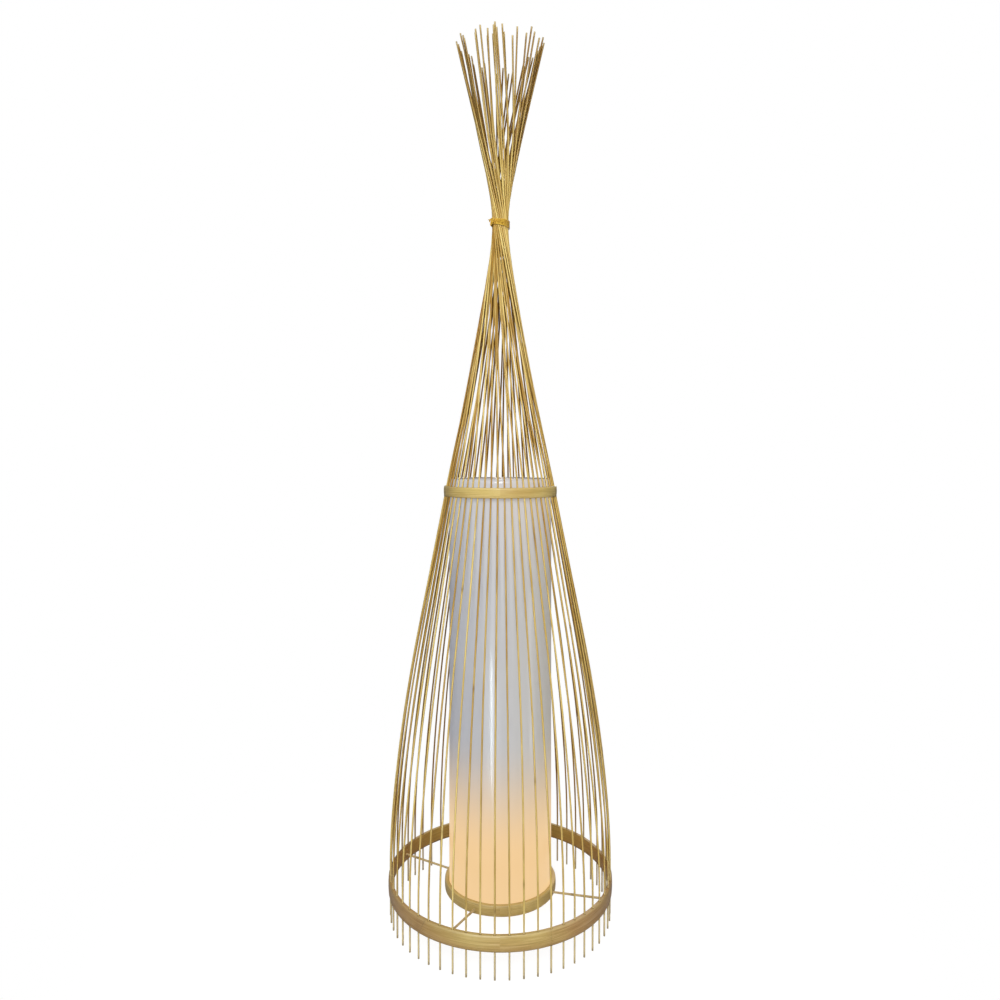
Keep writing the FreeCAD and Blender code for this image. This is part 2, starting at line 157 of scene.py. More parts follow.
# ------------------------------------------------------------------ materials
def bamboo_splint_material():
    """Grain runs along each splint; tone and node marks come with the mesh."""
    g = Graph("bamboo_splint_look")
    grain = g.attribute("grain", vector=True)
    tone = g.attribute("tone")
    joint = g.attribute("joint")
    cut = g.attribute("cut")
    skin = g.attribute("skin")
    height = g.node("ShaderNodeSeparateXYZ")
    g.link(g.position(), height.inputs[0])
    fibre = g.noise(g.scaled(grain, (1.5, 1.5, 0.035)), detail=4.0)
    fine = g.noise(g.scaled(grain, (5.0, 5.0, 0.12), (7, 3, 0)), detail=3.0)
    patch = g.noise(g.scaled(grain, (0.15, 0.15, 0.010), (1, 9, 4)), detail=2.0)
    pale = g.ramp(fibre, (0.28, srgb(206, 172, 84)), (0.50, srgb(244, 216, 124)),
                  (0.72, srgb(254, 240, 172)))
    deep = g.ramp(fibre, (0.28, srgb(126, 84, 16)), (0.55, srgb(182, 136, 40)),
                  (0.75, srgb(222, 182, 78)))
    pith = g.ramp(fibre, (0.28, srgb(98, 64, 12)), (0.55, srgb(146, 106, 34)),
                  (0.75, srgb(184, 146, 66)))
    which = g.math("ADD", g.math("MULTIPLY", tone, 0.95),
                   g.between(patch, 0.35, 0.65, -0.25, 0.35), clamp=True)
    # Painted light: fewer deep-toned splints low down, so the lower cage looks paler.
    which = g.math("MULTIPLY", which, g.between(height.outputs["Z"], 0.05, 0.55, 0.4, 1.0))
    colour = g.mix(which, pale, deep)
    colour = g.mix(g.between(skin, 0.66, 0.30, 0.0, 1.0, "SMOOTHSTEP"), colour, pith)
    # Painted light: the splints turn paler towards the floor.
    colour = g.mix(g.between(height.outputs["Z"], 0.09, 0.02, 0.0, 0.5), colour,
                   srgb(236, 226, 192))
    # Painted shade: the fan darkens towards its top.
    colour = g.mix(g.between(height.outputs["Z"], 0.97, 1.17, 0.0, 0.62), colour,
                   srgb(124, 90, 30))
    colour = g.mix(g.between(fine, 0.55, 0.75, 0.0, 0.35), colour, srgb(140, 100, 36))
    colour = g.mix(g.math("MULTIPLY", joint, 0.6), colour, srgb(120, 84, 36))
    colour = g.mix(g.math("MULTIPLY", cut, 0.7), colour, srgb(232, 212, 160))
    g.set(Base_Color=colour, Roughness=g.between(fine, 0.3, 0.7, 0.34, 0.50),
          Specular_IOR_Level=0.35, Coat_Weight=0.12, Coat_Roughness=0.28)
    g.bump(g.math("ADD", fibre, g.math("MULTIPLY", fine, 0.5)), 0.00018, 0.6)
    return g.material


def bamboo_strip_material():
    """Bent strip: fibres run along the hoop, with a browner inner face, stained patches and painted
    shade on the hoop's sides.
    """
    g = Graph("bamboo_strip_look")
    grain = g.attribute("grain", vector=True)
    skin = g.attribute("skin")
    joint = g.attribute("joint")
    edge = g.attribute("edge")
    stain = g.attribute("stain")
    fibre = g.noise(g.scaled(grain, (0.020, 1.6, 1.6)), detail=5.0, rough=0.6)
    fine = g.noise(g.scaled(grain, (0.10, 6.0, 6.0), (5, 1, 2)), detail=3.0)
    patch = g.noise(g.scaled(grain, (0.012, 0.05, 0.05), (2, 8, 1)), detail=3.0)
    warm = g.attribute("warm")
    cool = g.ramp(fibre, (0.26, srgb(190, 163, 82)), (0.50, srgb(219, 193, 114)),
                  (0.74, srgb(243, 220, 152)))
    ruddy = g.ramp(fibre, (0.26, srgb(150, 100, 46)), (0.50, srgb(204, 162, 98)),
                   (0.74, srgb(240, 216, 168)))
    outer = g.mix(warm, cool, ruddy)
    inner = g.ramp(fibre, (0.28, srgb(132, 108, 46)), (0.55, srgb(170, 142, 72)),
                   (0.75, srgb(196, 168, 98)))
    colour = g.mix(skin, inner, outer)
    colour = g.mix(g.between(patch, 0.48, 0.72, 0.0, 0.45), colour, srgb(176, 136, 68))
    colour = g.mix(g.between(fine, 0.58, 0.78, 0.0, 0.5), colour, srgb(140, 104, 44))
    colour = g.mix(g.math("MULTIPLY", edge, 0.55), colour, srgb(224, 204, 148))
    # Stains darken the strip here, and so does painted shade on the hoop's left and right sides.
    colour = g.mix(g.math("MULTIPLY", stain, 0.6), colour, srgb(150, 104, 52))
    colour = g.mix(g.math("MULTIPLY", joint, 0.6), colour, srgb(92, 62, 28))
    g.set(Base_Color=colour, Roughness=g.between(fine, 0.3, 0.7, 0.34, 0.55),
          Coat_Weight=0.15, Coat_Roughness=0.3)
    g.bump(g.math("ADD", fibre, g.math("MULTIPLY", fine, 0.6)), 0.0003, 0.6)
    return g.material


def string_material():
    """Matt twisted string, browner in places."""
    g = Graph("binding_string_look")
    grain = g.attribute("grain", vector=True)
    strands = g.noise(g.scaled(grain, (3.0, 3.0, 0.35)), detail=4.0)
    patch = g.noise(g.scaled(grain, (0.2, 0.2, 0.05), (3, 1, 8)), detail=2.0)
    colour = g.ramp(strands, (0.28, srgb(166, 124, 24)), (0.52, srgb(236, 190, 58)),
                    (0.74, srgb(252, 226, 106)))
    colour = g.mix(g.between(patch, 0.45, 0.7, 0.0, 0.4), colour, srgb(198, 150, 34))
    g.set(Base_Color=colour, Roughness=0.78, Sheen_Weight=0.2, Sheen_Roughness=0.5)
    g.bump(strands, 0.0003, 0.9)
    return g.material


def shade_material():
    """White lamp film with painted light: a warm glow low down that fades out with height, and above
    it a weaker glow of its own, cooler on -X and warmer on +X.
    """
    g = Graph("shade_film_look")
    place = g.position()
    split = g.node("ShaderNodeSeparateXYZ")
    g.link(place, split.inputs[0])
    z = split.outputs["Z"]
    weave = g.noise(g.scaled(place, (260, 260, 260)), detail=3.0)
    cloud = g.noise(g.scaled(place, (14, 14, 5)), detail=2.0)
    level = g.math("ADD", z, g.math("MULTIPLY", g.math("SUBTRACT", cloud, 0.5), 0.016))
    # Painted light: the bulb's warm glow on the lower film, fading out with height. Where it glows,
    # the base colour is darkened so the glow shows evenly.
    lit = g.between(level, 0.264, 0.104, 0.0, 1.0, "SMOOTHSTEP")
    # Painted light: above 0.44 m the film gets a darker base colour and a brighter glow of its own.
    high = g.between(z, 0.44, 0.60, 0.0, 1.0, "SMOOTHSTEP")
    film = g.mix(g.between(cloud, 0.3, 0.7, 0.0, 1.0), srgb(177, 179, 184), srgb(183, 185, 190))
    film = g.mix(high, film, srgb(140, 141, 145))
    film = g.mix(lit, film, srgb(58, 46, 34))
    # Painted light: the film's own glow is cooler on the -X side and warmer on the +X side.
    right = g.between(split.outputs["X"], -0.066, 0.066, 0.0, 1.0)
    low_through = g.mix(right, (0.150, 0.156, 0.178, 1.0), (0.222, 0.206, 0.168, 1.0))
    high_through = g.mix(right, (0.335, 0.350, 0.380, 1.0), (0.430, 0.378, 0.330, 1.0))
    through = g.mix(high, low_through, high_through)
    glow = g.mix(lit, through, (0.865, 0.590, 0.300, 1.0))
    g.set(Base_Color=film, Roughness=g.between(weave, 0.3, 0.7, 0.30, 0.38),
          Emission_Color=glow, Emission_Strength=1.0)
    g.bsdf.inputs["Coat Weight"].default_value = 0.30
    g.bsdf.inputs["Coat Roughness"].default_value = 0.15
    g.bump(weave, 0.00006, 0.35)
    return g.material


def plastic_material(name, colour, rough, speck=0.02):
    """Moulded plastic or glazed ceramic, with a fine grain and a faint cloud."""
    g = Graph(name)
    place = g.position()
    grain = g.noise(g.scaled(place, (900, 900, 900)), detail=2.0)
    cloud = g.noise(g.scaled(place, (60, 60, 60)), detail=2.0)
    darker = tuple(c * (1.0 - 6 * speck) for c in colour[:3]) + (1.0,)
    g.set(Base_Color=g.mix(g.between(cloud, 0.3, 0.7), darker, colour),
          Roughness=g.between(grain, 0.3, 0.7, rough - 0.05, rough + 0.07))
    g.bump(grain, 0.00008, 0.5)
    return g.material


def metal_material(name, colour, rough):
    """Drawn or rolled metal: fine lines along the height, and duller patches."""
    g = Graph(name)
    place = g.position()
    lines = g.noise(g.scaled(place, (900, 900, 40)), detail=3.0)
    cloud = g.noise(g.scaled(place, (70, 70, 70)), detail=3.0)
    darker = tuple(c * 0.72 for c in colour[:3]) + (1.0,)
    g.set(Base_Color=g.mix(g.between(cloud, 0.35, 0.75), colour, darker), Metallic=1.0,
          Roughness=g.between(lines, 0.3, 0.7, rough - 0.08, rough + 0.1))
    g.bump(lines, 0.00006, 0.5)
    return g.material


def globe_material():
    """Opal bulb, switched on."""
    g = Graph("bulb_globe_look")
    cloud = g.noise(g.scaled(g.position(), (45, 45, 45)), detail=1.0)
    g.set(Base_Color=srgb(246, 236, 218), Roughness=0.35,
          Emission_Color=g.mix(cloud, (1.0, 0.70, 0.40, 1.0), (1.0, 0.78, 0.50, 1.0)),
          Emission_Strength=2.2)
    return g.material


def floor_material():
    """Pale floor, seen nearly white, with a faint shade where the object stands on it."""
    g = Graph("floor_look")
    place = g.position()
    length = g.node("ShaderNodeVectorMath", operation="LENGTH")
    g.link(place, length.inputs[0])
    far = g.between(length.outputs["Value"], 0.20, 0.60, 0.0, 1.0, "SMOOTHSTEP")
    grain = g.noise(g.scaled(place, (120, 120, 120)), detail=2.0)
    g.set(Base_Color=g.mix(grain, (0.58, 0.58, 0.58, 1), (0.62, 0.62, 0.62, 1)), Roughness=0.9)
    g.bsdf.inputs["Specular IOR Level"].default_value = 0.05
    near = g.node("ShaderNodeBsdfDiffuse")
    near.inputs["Color"].default_value = (0.16, 0.16, 0.16, 1)
    lift = g.node("ShaderNodeEmission")
    lift.inputs["Strength"].default_value = 0.92
    white = g.node("ShaderNodeEmission")
    both, seen, last = (g.node("ShaderNodeAddShader"), g.node("ShaderNodeMixShader"),
                        g.node("ShaderNodeMixShader"))
    g.link(near.outputs[0], both.inputs[0])
    g.link(lift.outputs[0], both.inputs[1])
    g.link(far, seen.inputs[0])
    g.link(both.outputs[0], seen.inputs[1])
    g.link(white.outputs[0], seen.inputs[2])
    g.link(g.node("ShaderNodeLightPath").outputs["Is Camera Ray"], last.inputs[0])
    g.link(g.bsdf.outputs[0], last.inputs[1])
    g.link(seen.outputs[0], last.inputs[2])
    g.link(last.outputs[0], g.out.inputs[0])
    return g.material


SPLINT = bamboo_splint_material()
STRIP = bamboo_strip_material()
STRING = string_material()
FILM = shade_material()
SLOT_LOOKS = {
    "rim_wire": metal_material("rim_wire_look", srgb(215, 215, 218), 0.35),
    "steel": metal_material("zinc_steel_look", srgb(190, 194, 200), 0.34),
    "brass": metal_material("brass_look", srgb(214, 178, 100), 0.28),
    "black_plastic": plastic_material("black_plastic_look", srgb(34, 34, 36), 0.42),
    "white_plastic": plastic_material("white_plastic_look", srgb(236, 235, 230), 0.30),
    "ceramic": plastic_material("ceramic_look", srgb(228, 222, 210), 0.55, 0.03),
    "insulation": plastic_material("insulation_look", srgb(222, 222, 222), 0.40),
    "cap_metal": metal_material("cap_metal_look", srgb(200, 200, 204), 0.22),
    "globe": globe_material(),
    "board": metal_material("board_look", srgb(210, 212, 214), 0.40),
    "chips": plastic_material("chips_look", srgb(240, 206, 70), 0.35),
    "driver": plastic_material("driver_look", srgb(28, 92, 48), 0.45),
    "bamboo_splint": SPLINT,
    "bamboo_hoop": STRIP,
    "binding": STRING,
    "shade_film": FILM,
}
for row in frame["record"]["subparts"]:
    mesh = NODES[row["node"]].data
    mesh.materials.clear()
    mesh.materials.append(SLOT_LOOKS[row["material_slot"]])


# ------------------------------------------------------------------ mesh building
class Mesh:
    """Vertices, faces and the per-vertex values that the materials read."""

    def __init__(self):
        self.verts, self.faces = [], []
        self.grain, self.values = [], {}

    def vert(self, p, grain=(0, 0, 0), **values):
        self.verts.append(p)
        self.grain.append(grain)
        index = len(self.verts) - 1
        for k, v in values.items():
            self.values.setdefault(k, {})[index] = v
        return index

    def finish(self, name, material, node):
        """Make the object, which rides on the lamp and stands for its CAD node."""
        data = bpy.data.meshes.new(name)
        data.from_pydata([tuple(p) for p in self.verts], [], self.faces)
        grain = data.attributes.new("grain", "FLOAT_VECTOR", "POINT")
        grain.data.foreach_set("vector", [c for g in self.grain for c in g])
        for k, table in self.values.items():
            layer = data.attributes.new(k, "FLOAT", "POINT")
            layer.data.foreach_set("value", [table.get(i, 0.0) for i in range(len(self.verts))])
        data.polygons.foreach_set("use_smooth", [True] * len(data.polygons))
        data.materials.append(material)
        data.update()
        piece = bpy.data.objects.new(name, data)
        bpy.context.scene.collection.objects.link(piece)
        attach(piece, "lamp")
        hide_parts(node)


def along(points):
    """Tangent and a steady pair of side directions at each point of a line."""
    out = []
    n = len(points)
    side = None
    for i in range(n):
        t = (points[min(i + 1, n - 1)] - points[max(i - 1, 0)]).normalized()
        if side is None:
            side = t.orthogonal().normalized()
        side = (side - t * side.dot(t)).normalized()
        out.append((t, side, t.cross(side)))
    return out


EASED_END = 0.93             # share of the radius that a bar's flat end face keeps


def tube(mesh, points, radius_at, sides, offset, **values_at):
    """A round bar along points, with closed ends.

    radius_at and values_at give a number from the distance run and the whole length.
    """
    frames = along(points)
    run, rings = 0.0, []
    total = sum((points[i + 1] - points[i]).length for i in range(len(points) - 1))
    for i, p in enumerate(points):
        if i:
            run += (p - points[i - 1]).length
        _, u, w = frames[i]
        r = radius_at(run, total)
        away = Vector((p.x, p.y, 0)).normalized()
        ring = []
        for k in range(sides):
            a = 2 * math.pi * k / sides
            c, s = math.cos(a), math.sin(a)
            extra = {key: fn(run, total) for key, fn in values_at.items()}
            way = u * c + w * s
            ring.append(mesh.vert(p + way * r,
                                  (c * r / MM + offset, s * r / MM, run / MM),
                                  skin=0.5 + 0.5 * way.dot(away), **extra))
        rings.append(ring)
    for a, b in zip(rings, rings[1:]):
        for k in range(sides):
            j = (k + 1) % sides
            mesh.faces.append((a[k], a[j], b[j], b[k]))
    ends = {key: fn(0.0, total) for key, fn in values_at.items()}
    ends.update(cut=1.0, skin=0.6)
    for ring, p, flip in ((rings[0], points[0], True), (rings[-1], points[-1], False)):
        lip = [mesh.vert(p.lerp(mesh.verts[k], EASED_END), (offset, 0, 0), **ends) for k in ring]
        for k in range(sides):
            j = (k + 1) % sides
            quad = (ring[k], lip[k], lip[j], ring[j])
            mesh.faces.append(quad if flip else quad[::-1])
        mesh.faces.append(tuple(lip[::-1]) if flip else tuple(lip))


# ------------------------------------------------------------------ splint lines, in mm
SPLINTS, SPLINT_R, SPLINT_AZ0 = 54, 1.2, -2.5
SPLINT_PITCH = 360.0 / SPLINTS
BELL = [(0.0, 152.1), (95.0, 152.6), (165.0, 147.8), (250.0, 138.0), (345.0, 122.8)]
WAIST_Z, WAIST_CL_R, SPREAD_Z, TIE_Z = 583.4, 76.0, 601.0, 958.0
NECK_R = (10.15, 7.4, 4.7)
NECK_LEAN, NECK_TURN = 0.0198, 0.92
CONE_SLOPE, FAN_SLOPE = 0.1985, 0.238
RINGS = "OMOIMOMOI"
RING_HOLD, EVEN_HOLD = 1.5, 1.15
TIP_Z, TIP_SPAN, TIP_RISE = 1200.0, 18.0, 12.0
BUNCHES, BUNCH_TURN, BUNCH_START = 3.0, 12.5, -156.0
LEVELS = (-230.0, -120.0, -60.0, -20.0, 20.0, 60.0, 120.0)


def at(az, r, z):
    """A point from its azimuth, measured from the front towards +X, radius and height."""
    a = math.radians(az)
    return Vector((r * math.sin(a), -r * math.cos(a), z))


def turn(dz):
    """Azimuth gained between the waist hoop and a height dz above the tie."""
    start = SPREAD_Z - TIE_Z
    lean = NECK_LEAN if dz < 0 else NECK_LEAN * FAN_SLOPE / CONE_SLOPE
    return -math.degrees(NECK_TURN * (math.atan(lean * dz) - math.atan(NECK_LEAN * start)))


def ring_target(i):
    """Which ring of the neck a splint lies in, and its azimuth correction there."""
    k = i % 9
    letter = RINGS[k]
    before = RINGS[:k].count(letter)
    wanted, layer = {"O": (0.83 + 15.0 * before, 0), "M": (4.44 + 20.0 * before, 1),
                     "I": (21.7 + 30.0 * before, 2)}[letter]
    return layer, wanted - k * SPLINT_PITCH


def tip_azimuth(i):
    """Where a splint ends in the fan: evenly turned, then drawn into loose bunches."""
    az = SPLINT_AZ0 + SPLINT_PITCH * i + ring_target(i)[1] + turn(TIP_Z - TIE_Z)
    return az + BUNCH_TURN * math.sin(math.radians(BUNCHES * az + BUNCH_START))


def tip_height(i):
    """No two ends are level, and those at the two sides are a little higher."""
    uneven = (i * 0.6180339887 + 0.37) % 1.0 - 0.5
    return TIP_Z + TIP_SPAN * uneven + TIP_RISE * math.sin(math.radians(tip_azimuth(i))) ** 2


def splint_corners(i):
    """Corner points and the reach of the arc at each, the same line as the CAD splint's."""
    az = SPLINT_AZ0 + SPLINT_PITCH * i
    layer, correction = ring_target(i)
    pts = [at(az, r, z) for z, r in BELL]
    reach = [0.0, 34.0, 34.0, 40.0, 46.0]
    z0, r0 = BELL[-1]
    spread_r = r0 + (WAIST_CL_R - r0) * (SPREAD_Z - z0) / (WAIST_Z - z0)
    pts.append(at(az, spread_r, SPREAD_Z))
    reach.append(8.0)
    behind = NECK_R[0] - NECK_R[layer]
    for dz in LEVELS:
        outer = math.hypot(NECK_R[0], (CONE_SLOPE if dz < 0 else FAN_SLOPE) * dz)
        fade = max(0.0, 1.0 - abs(dz) / (TIE_Z - SPREAD_Z))
        held = min(1.0, fade * RING_HOLD) if dz < 0 else 1.0
        even = min(1.0, fade * EVEN_HOLD) if dz < 0 else 1.0
        pts.append(at(az + correction * even + turn(dz), outer - behind * held, TIE_Z + dz))
        reach.append(16.0 if abs(dz) < 100 else 26.0)
    z = tip_height(i)
    r = math.hypot(NECK_R[0], FAN_SLOPE * (z - TIE_Z)) - (0.0, 3.0, 6.0)[layer]
    pts.append(at(tip_azimuth(i), r, z))
    reach.append(0.0)
    return pts, reach


def splint_line(i, step=7.0):
    """Points along a splint's centre line, in mm."""
    pts, reach = splint_corners(i)
    line = [pts[0]]

    def straight(q):
        p = line[-1]
        n = max(1, int((q - p).length / step))
        line.extend(p.lerp(q, k / n) for k in range(1, n + 1))

    for j in range(1, len(pts) - 1):
        p = pts[j]
        a = p + (pts[j - 1] - p).normalized() * reach[j]
        b = p + (pts[j + 1] - p).normalized() * reach[j]
        straight(a)
        n = max(4, int(2 * reach[j] / step))
        for k in range(1, n + 1):
            t = k / n
            line.append(a * (1 - t) ** 2 + p * (2 * t * (1 - t)) + b * t * t)
    straight(pts[-1])
    return line


def bow(z, low, high):
    """0 at both heights and 1 between them."""
    if not low < z < high:
        return 0.0
    return math.sin(math.pi * (z - low) / (high - low)) ** 2


def splint_wander(i, p, seed):
    """How far the real splint lies from the drawn line: held at the hoops and at the tie."""
    rng = random.Random(seed)
    side_low, out_low, side_mid, out_mid, side_tip, out_tip = (rng.uniform(-1, 1) for _ in range(6))
    az = math.atan2(p.x, -p.y)
    side, out = Vector((math.cos(az), math.sin(az), 0)), Vector((math.sin(az), -math.cos(az), 0))
    low, mid = bow(p.z, 60, 570), bow(p.z, 597, 900)
    tip = max(0.0, (p.z - 1000.0) / 200.0) ** 1.3
    fine = noise.noise(Vector((i * 7.3, p.z * 0.012, 2.0))) * 0.35 * min(1.0, low + mid + tip)
    return side * (1.5 * side_low * low + 1.9 * side_mid * mid + 2.6 * side_tip * tip + fine) + \
        out * (1.1 * out_low * low - abs(1.2 * out_mid) * mid + 1.8 * out_tip * tip)


PER_NODE, SPLINT_SIDES = 3, 10


def make_splints():
    """Slightly uneven round splints with growth rings, three to a node as in the CAD."""
    for n in range(SPLINTS // PER_NODE):
        mesh = Mesh()
        for i in range(n * PER_NODE, n * PER_NODE + PER_NODE):
            rng = random.Random(1000 + i)
            line = [(p + splint_wander(i, p, 4000 + i)) * MM for p in splint_line(i)]
            tone = rng.random()
            thick = rng.uniform(0.94, 1.04)
            marks, s = [], rng.uniform(60, 300)
            while s < 1300:
                marks.append(s * MM)
                s += rng.uniform(230, 420)

            def radius(run, total, marks=marks, thick=thick, i=i):
                swell = sum(math.exp(-((run - m) / (2.2 * MM)) ** 2) for m in marks)
                wave = noise.noise(Vector((i * 3.1, run * 18.0, 5.0)))
                return SPLINT_R * MM * (thick + 0.05 * wave + 0.09 * swell)

            def joint(run, total, marks=marks):
                return min(1.0, sum(math.exp(-((run - m) / (1.6 * MM)) ** 2) for m in marks))

            tube(mesh, line, radius, SPLINT_SIDES, i * 13.7,
                 tone=lambda run, total, tone=tone: tone, joint=joint,
                 cut=lambda run, total: 1.0 if not 0.6 * MM <= run <= total - 0.6 * MM else 0.0)
        mesh.finish("splints_%02d_fine" % (n + 1), SPLINT,
                    "splints_%02d" % (n + 1))


# ------------------------------------------------------------------ hoops
def gauss(x, width):
    """1 at a place and 0 away from it."""
    return math.exp(-(x / width) ** 2)


def step(x, width):
    """0 before a place and 1 after it."""
    return 0.5 + 0.5 * math.tanh(x / width)


def arc_from(az, mark, r):
    """Distance along a circle of radius r from one azimuth to another, the short way."""
    return ((az - mark + 180) % 360 - 180) * math.pi / 180 * r


def hoop_section():
    """Points round a strip's section: share across, share up, skin and edge of each."""
    section = [(1.0, k / 12.0, 1.0, max(gauss(k, 0.8), gauss(12 - k, 0.8))) for k in range(13)]
    section += [(1.0 - k / 5.0, 1.0, 0.7, 0.8 * gauss(k, 1.5)) for k in range(1, 5)]
    section += [(0.0, 1.0 - k / 6.0, 0.0, 0.0) for k in range(7)]
    section += [(k / 5.0, 0.0, 0.5, 0.3) for k in range(1, 5)]
    return section


def drilled_rims(mesh, z0, z1, drill):
    """The dark rim of each splint's hole, on both edges of a strip."""
    steps = 14
    for i in range(SPLINTS):
        az = SPLINT_AZ0 + SPLINT_PITCH * i
        for z, up in ((z1 + 0.25, 1), (z0 - 0.25, -1)):
            centre = at(az, drill(z), z)
            loops = []
            for rad, drop in ((1.15, 0.0), (1.5, 0.0), (1.75, 0.3)):
                loop = []
                for k in range(steps):
                    t = 2 * math.pi * k / steps
                    p = centre + Vector((math.cos(t) * rad, math.sin(t) * rad, -up * drop))
                    loop.append(mesh.vert(p * MM, (az * 3.0, z, rad), skin=0.0, edge=0.0,
                                          joint=0.9 if rad < 1.6 else 0.3, stain=0.6))
                loops.append(loop)
            for inner, outer in zip(loops, loops[1:]):
                for k in range(steps):
                    j = (k + 1) % steps
                    quad = (inner[k], outer[k], outer[j], inner[j])
                    mesh.faces.append(quad if up > 0 else quad[::-1])


CROWN = 0.5                  # how far the middle of a strip's outer face stands out


def hoop(name, node, r_in, r_out, z0, z1, scarf_az, marks, segments, seed, ruddy, drill=None):
    """Bent bamboo strip with eased edges, growth rings of the cane and a lapped joint.

    marks are the azimuths of its growth rings, and drill gives the radius at which the splints
    cross a height, where the strip has a hole for each.
    """
    mesh = Mesh()
    tall = z1 - z0
    section = hoop_section()
    rings = []
    for i in range(segments):
        az = 360.0 * i / segments
        a = math.radians(az)
        arc = a * r_out
        ring = []
        for across, up, skin, edge in section:
            z = z0 + tall * up
            r = r_in + (r_out - CROWN - r_in) * across
            corner = min(up, 1 - up) * tall
            ease = 0.55 * max(0.0, 1 - corner / 0.9) ** 2 if across in (0.0, 1.0) else 0.0
            joint = 0.0
            # Painted shade: darker at the hoop's left and right sides as seen from the front, and
            # darker towards the strip's lower edge.
            stain = ruddy * (0.85 * math.sin(a) ** 4 + 0.45 * gauss(up, 0.22))
            warm = ruddy * (0.95 - 0.45 * up + 1.2 * noise.noise(
                Vector((math.cos(a) * 1.6, math.sin(a) * 1.6 + up * 0.5, seed + 3))))
            if across == 1.0:
                r += CROWN * (1 - (2 * up - 1) ** 2) - ease
                fibre = noise.noise(Vector((arc * 0.015, z * 0.9, seed))) * 0.10
                slow = noise.noise(Vector((math.cos(a) * 2, math.sin(a) * 2, seed + 5))) * 0.22
                r += fibre + slow
                for m in marks:
                    d = arc_from(az, m, r_out)
                    r += 0.22 * gauss(d - 0.6, 1.6) - 0.10 * gauss(d + 1.2, 1.1)
                    joint += 0.16 * gauss(d + 1.0, 0.8)
                    stain += 0.25 * gauss(d, 8.0)
                d = arc_from(az, scarf_az, r_out) - (up - 0.5) * tall * 0.55
                lap = step(d, 0.5)
                r += 0.42 * lap * math.exp(-max(d, 0) / 22.0)
                joint += 0.55 * gauss(d + 0.4, 0.5)
                stain += 0.8 * gauss(d + 7.0, 16.0) * (0.6 + 0.4 * noise.noise(
                    Vector((arc * 0.12, z * 0.25, seed + 9))))
            elif across == 0.0:
                r += ease + noise.noise(Vector((arc * 0.03, z * 0.6, seed + 2))) * 0.08
            wave = noise.noise(Vector((math.cos(a) * 3, math.sin(a) * 3, seed + 7))) * 0.22
            p = Vector((math.sin(a) * r, -math.cos(a) * r, z + wave * (2 * up - 1))) * MM
            ring.append(mesh.vert(p, (arc + seed * 31, z, r), skin=skin, edge=edge,
                                  joint=min(1.0, joint), stain=max(0.0, min(1.0, stain)),
                                  warm=max(0.0, min(1.0, warm))))
        rings.append(ring)
    count = len(section)
    for i in range(segments):
        a, b = rings[i], rings[(i + 1) % segments]
        for k in range(count):
            j = (k + 1) % count
            mesh.faces.append((a[k], b[k], b[j], a[j]))
    if drill:
        drilled_rims(mesh, z0, z1, drill)
    mesh.finish(name, STRIP, node)


def bell_foot_r(z):
    """Radius of the splints where they cross the base hoop."""
    (za, ra), (zb, rb) = BELL[0], BELL[1]
    return ra + (rb - ra) * (z - za) / (zb - za)


def waist_r(z):
    """Radius of the splints where they cross the waist hoop."""
    za, ra = BELL[-1]
    return ra + (WAIST_CL_R - ra) * (z - za) / (WAIST_Z - za)


# ruddy sets the reddish tint and also how strong the painted side shade is.
BASE_HOOP = dict(r_in=149.5, r_out=155.3, z0=34.5, z1=54.5, scarf_az=-39.17,
                 marks=(24.0, 205.0), segments=1440, seed=3, ruddy=1.25, drill=bell_foot_r)
WAIST_HOOP = dict(r_in=72.9, r_out=79.1, z0=576.4, z1=590.4, scarf_az=140.83,
                  marks=(-62.0, 215.0), segments=1080, seed=17, ruddy=0.1, drill=waist_r)
SHADE_RING = dict(r_in=71.5, r_out=77.5, z0=31.0, z1=45.0, scarf_az=120.0,
                  marks=(8.0, 260.0), segments=1080, seed=29, ruddy=0.15)


def make_hoops():
    for node, sizes in (("base_hoop", BASE_HOOP), ("waist_hoop", WAIST_HOOP),
                        ("shade_ring", SHADE_RING)):
        hoop(node + "_bent", node, **sizes)


SPOKES = (("front", -25.83), ("right", 67.5), ("back", 154.17), ("left", -112.5))
SPOKE_IN, SPOKE_OUT = (74.1, 36.7), (152.1, 44.2)
SPOKE_R, SPOKE_STEPS, SPOKE_SIDES = 1.45, 30, 14


def make_spokes():
    """Thin round spokes, each with one growth ring of the cane."""
    for k, (name, az) in enumerate(SPOKES):
        a, b = at(az, *SPOKE_IN), at(az, *SPOKE_OUT)
        line = [a.lerp(b, t / SPOKE_STEPS) * MM for t in range(SPOKE_STEPS + 1)]
        mesh = Mesh()
        mark = (18 + 13 * k) * MM

        def radius(run, total, mark=mark, k=k):
            wave = 0.06 * noise.noise(Vector((run * 60, k, 1)))
            return MM * (SPOKE_R + wave + 0.16 * gauss((run - mark) / MM, 1.6))

        tube(mesh, line, radius, SPOKE_SIDES, 50.0 + 9 * k,
             tone=lambda run, total, k=k: 0.75 + 0.06 * k,
             joint=lambda run, total, mark=mark: gauss((run - mark) / MM, 1.2),
             cut=lambda run, total: 0.0)
        mesh.finish("spoke_%s_round" % name, SPLINT, "spoke_" + name)


# ------------------------------------------------------------------ binding
def twisted(mesh, line, strand_r, strands, lay, sides, offset):
    """Strands laid round a line, which is in mm."""
    frames = along(line)
    for s in range(strands):
        run, path = 0.0, []
        for i, p in enumerate(line):
            if i:
                run += (p - line[i - 1]).length
            a = 2 * math.pi * (run / lay + s / strands)
            _, u, w = frames[i]
            fluff = 0.05 * noise.noise(Vector((run * 0.5, s * 4.0, offset)))
            path.append((p + (u * math.cos(a) + w * math.sin(a)) * (strand_r + fluff)) * MM)
        tube(mesh, path, lambda run, total: strand_r * MM * 1.12, sides, offset + s * 5.0,
             cut=lambda run, total: 0.0)


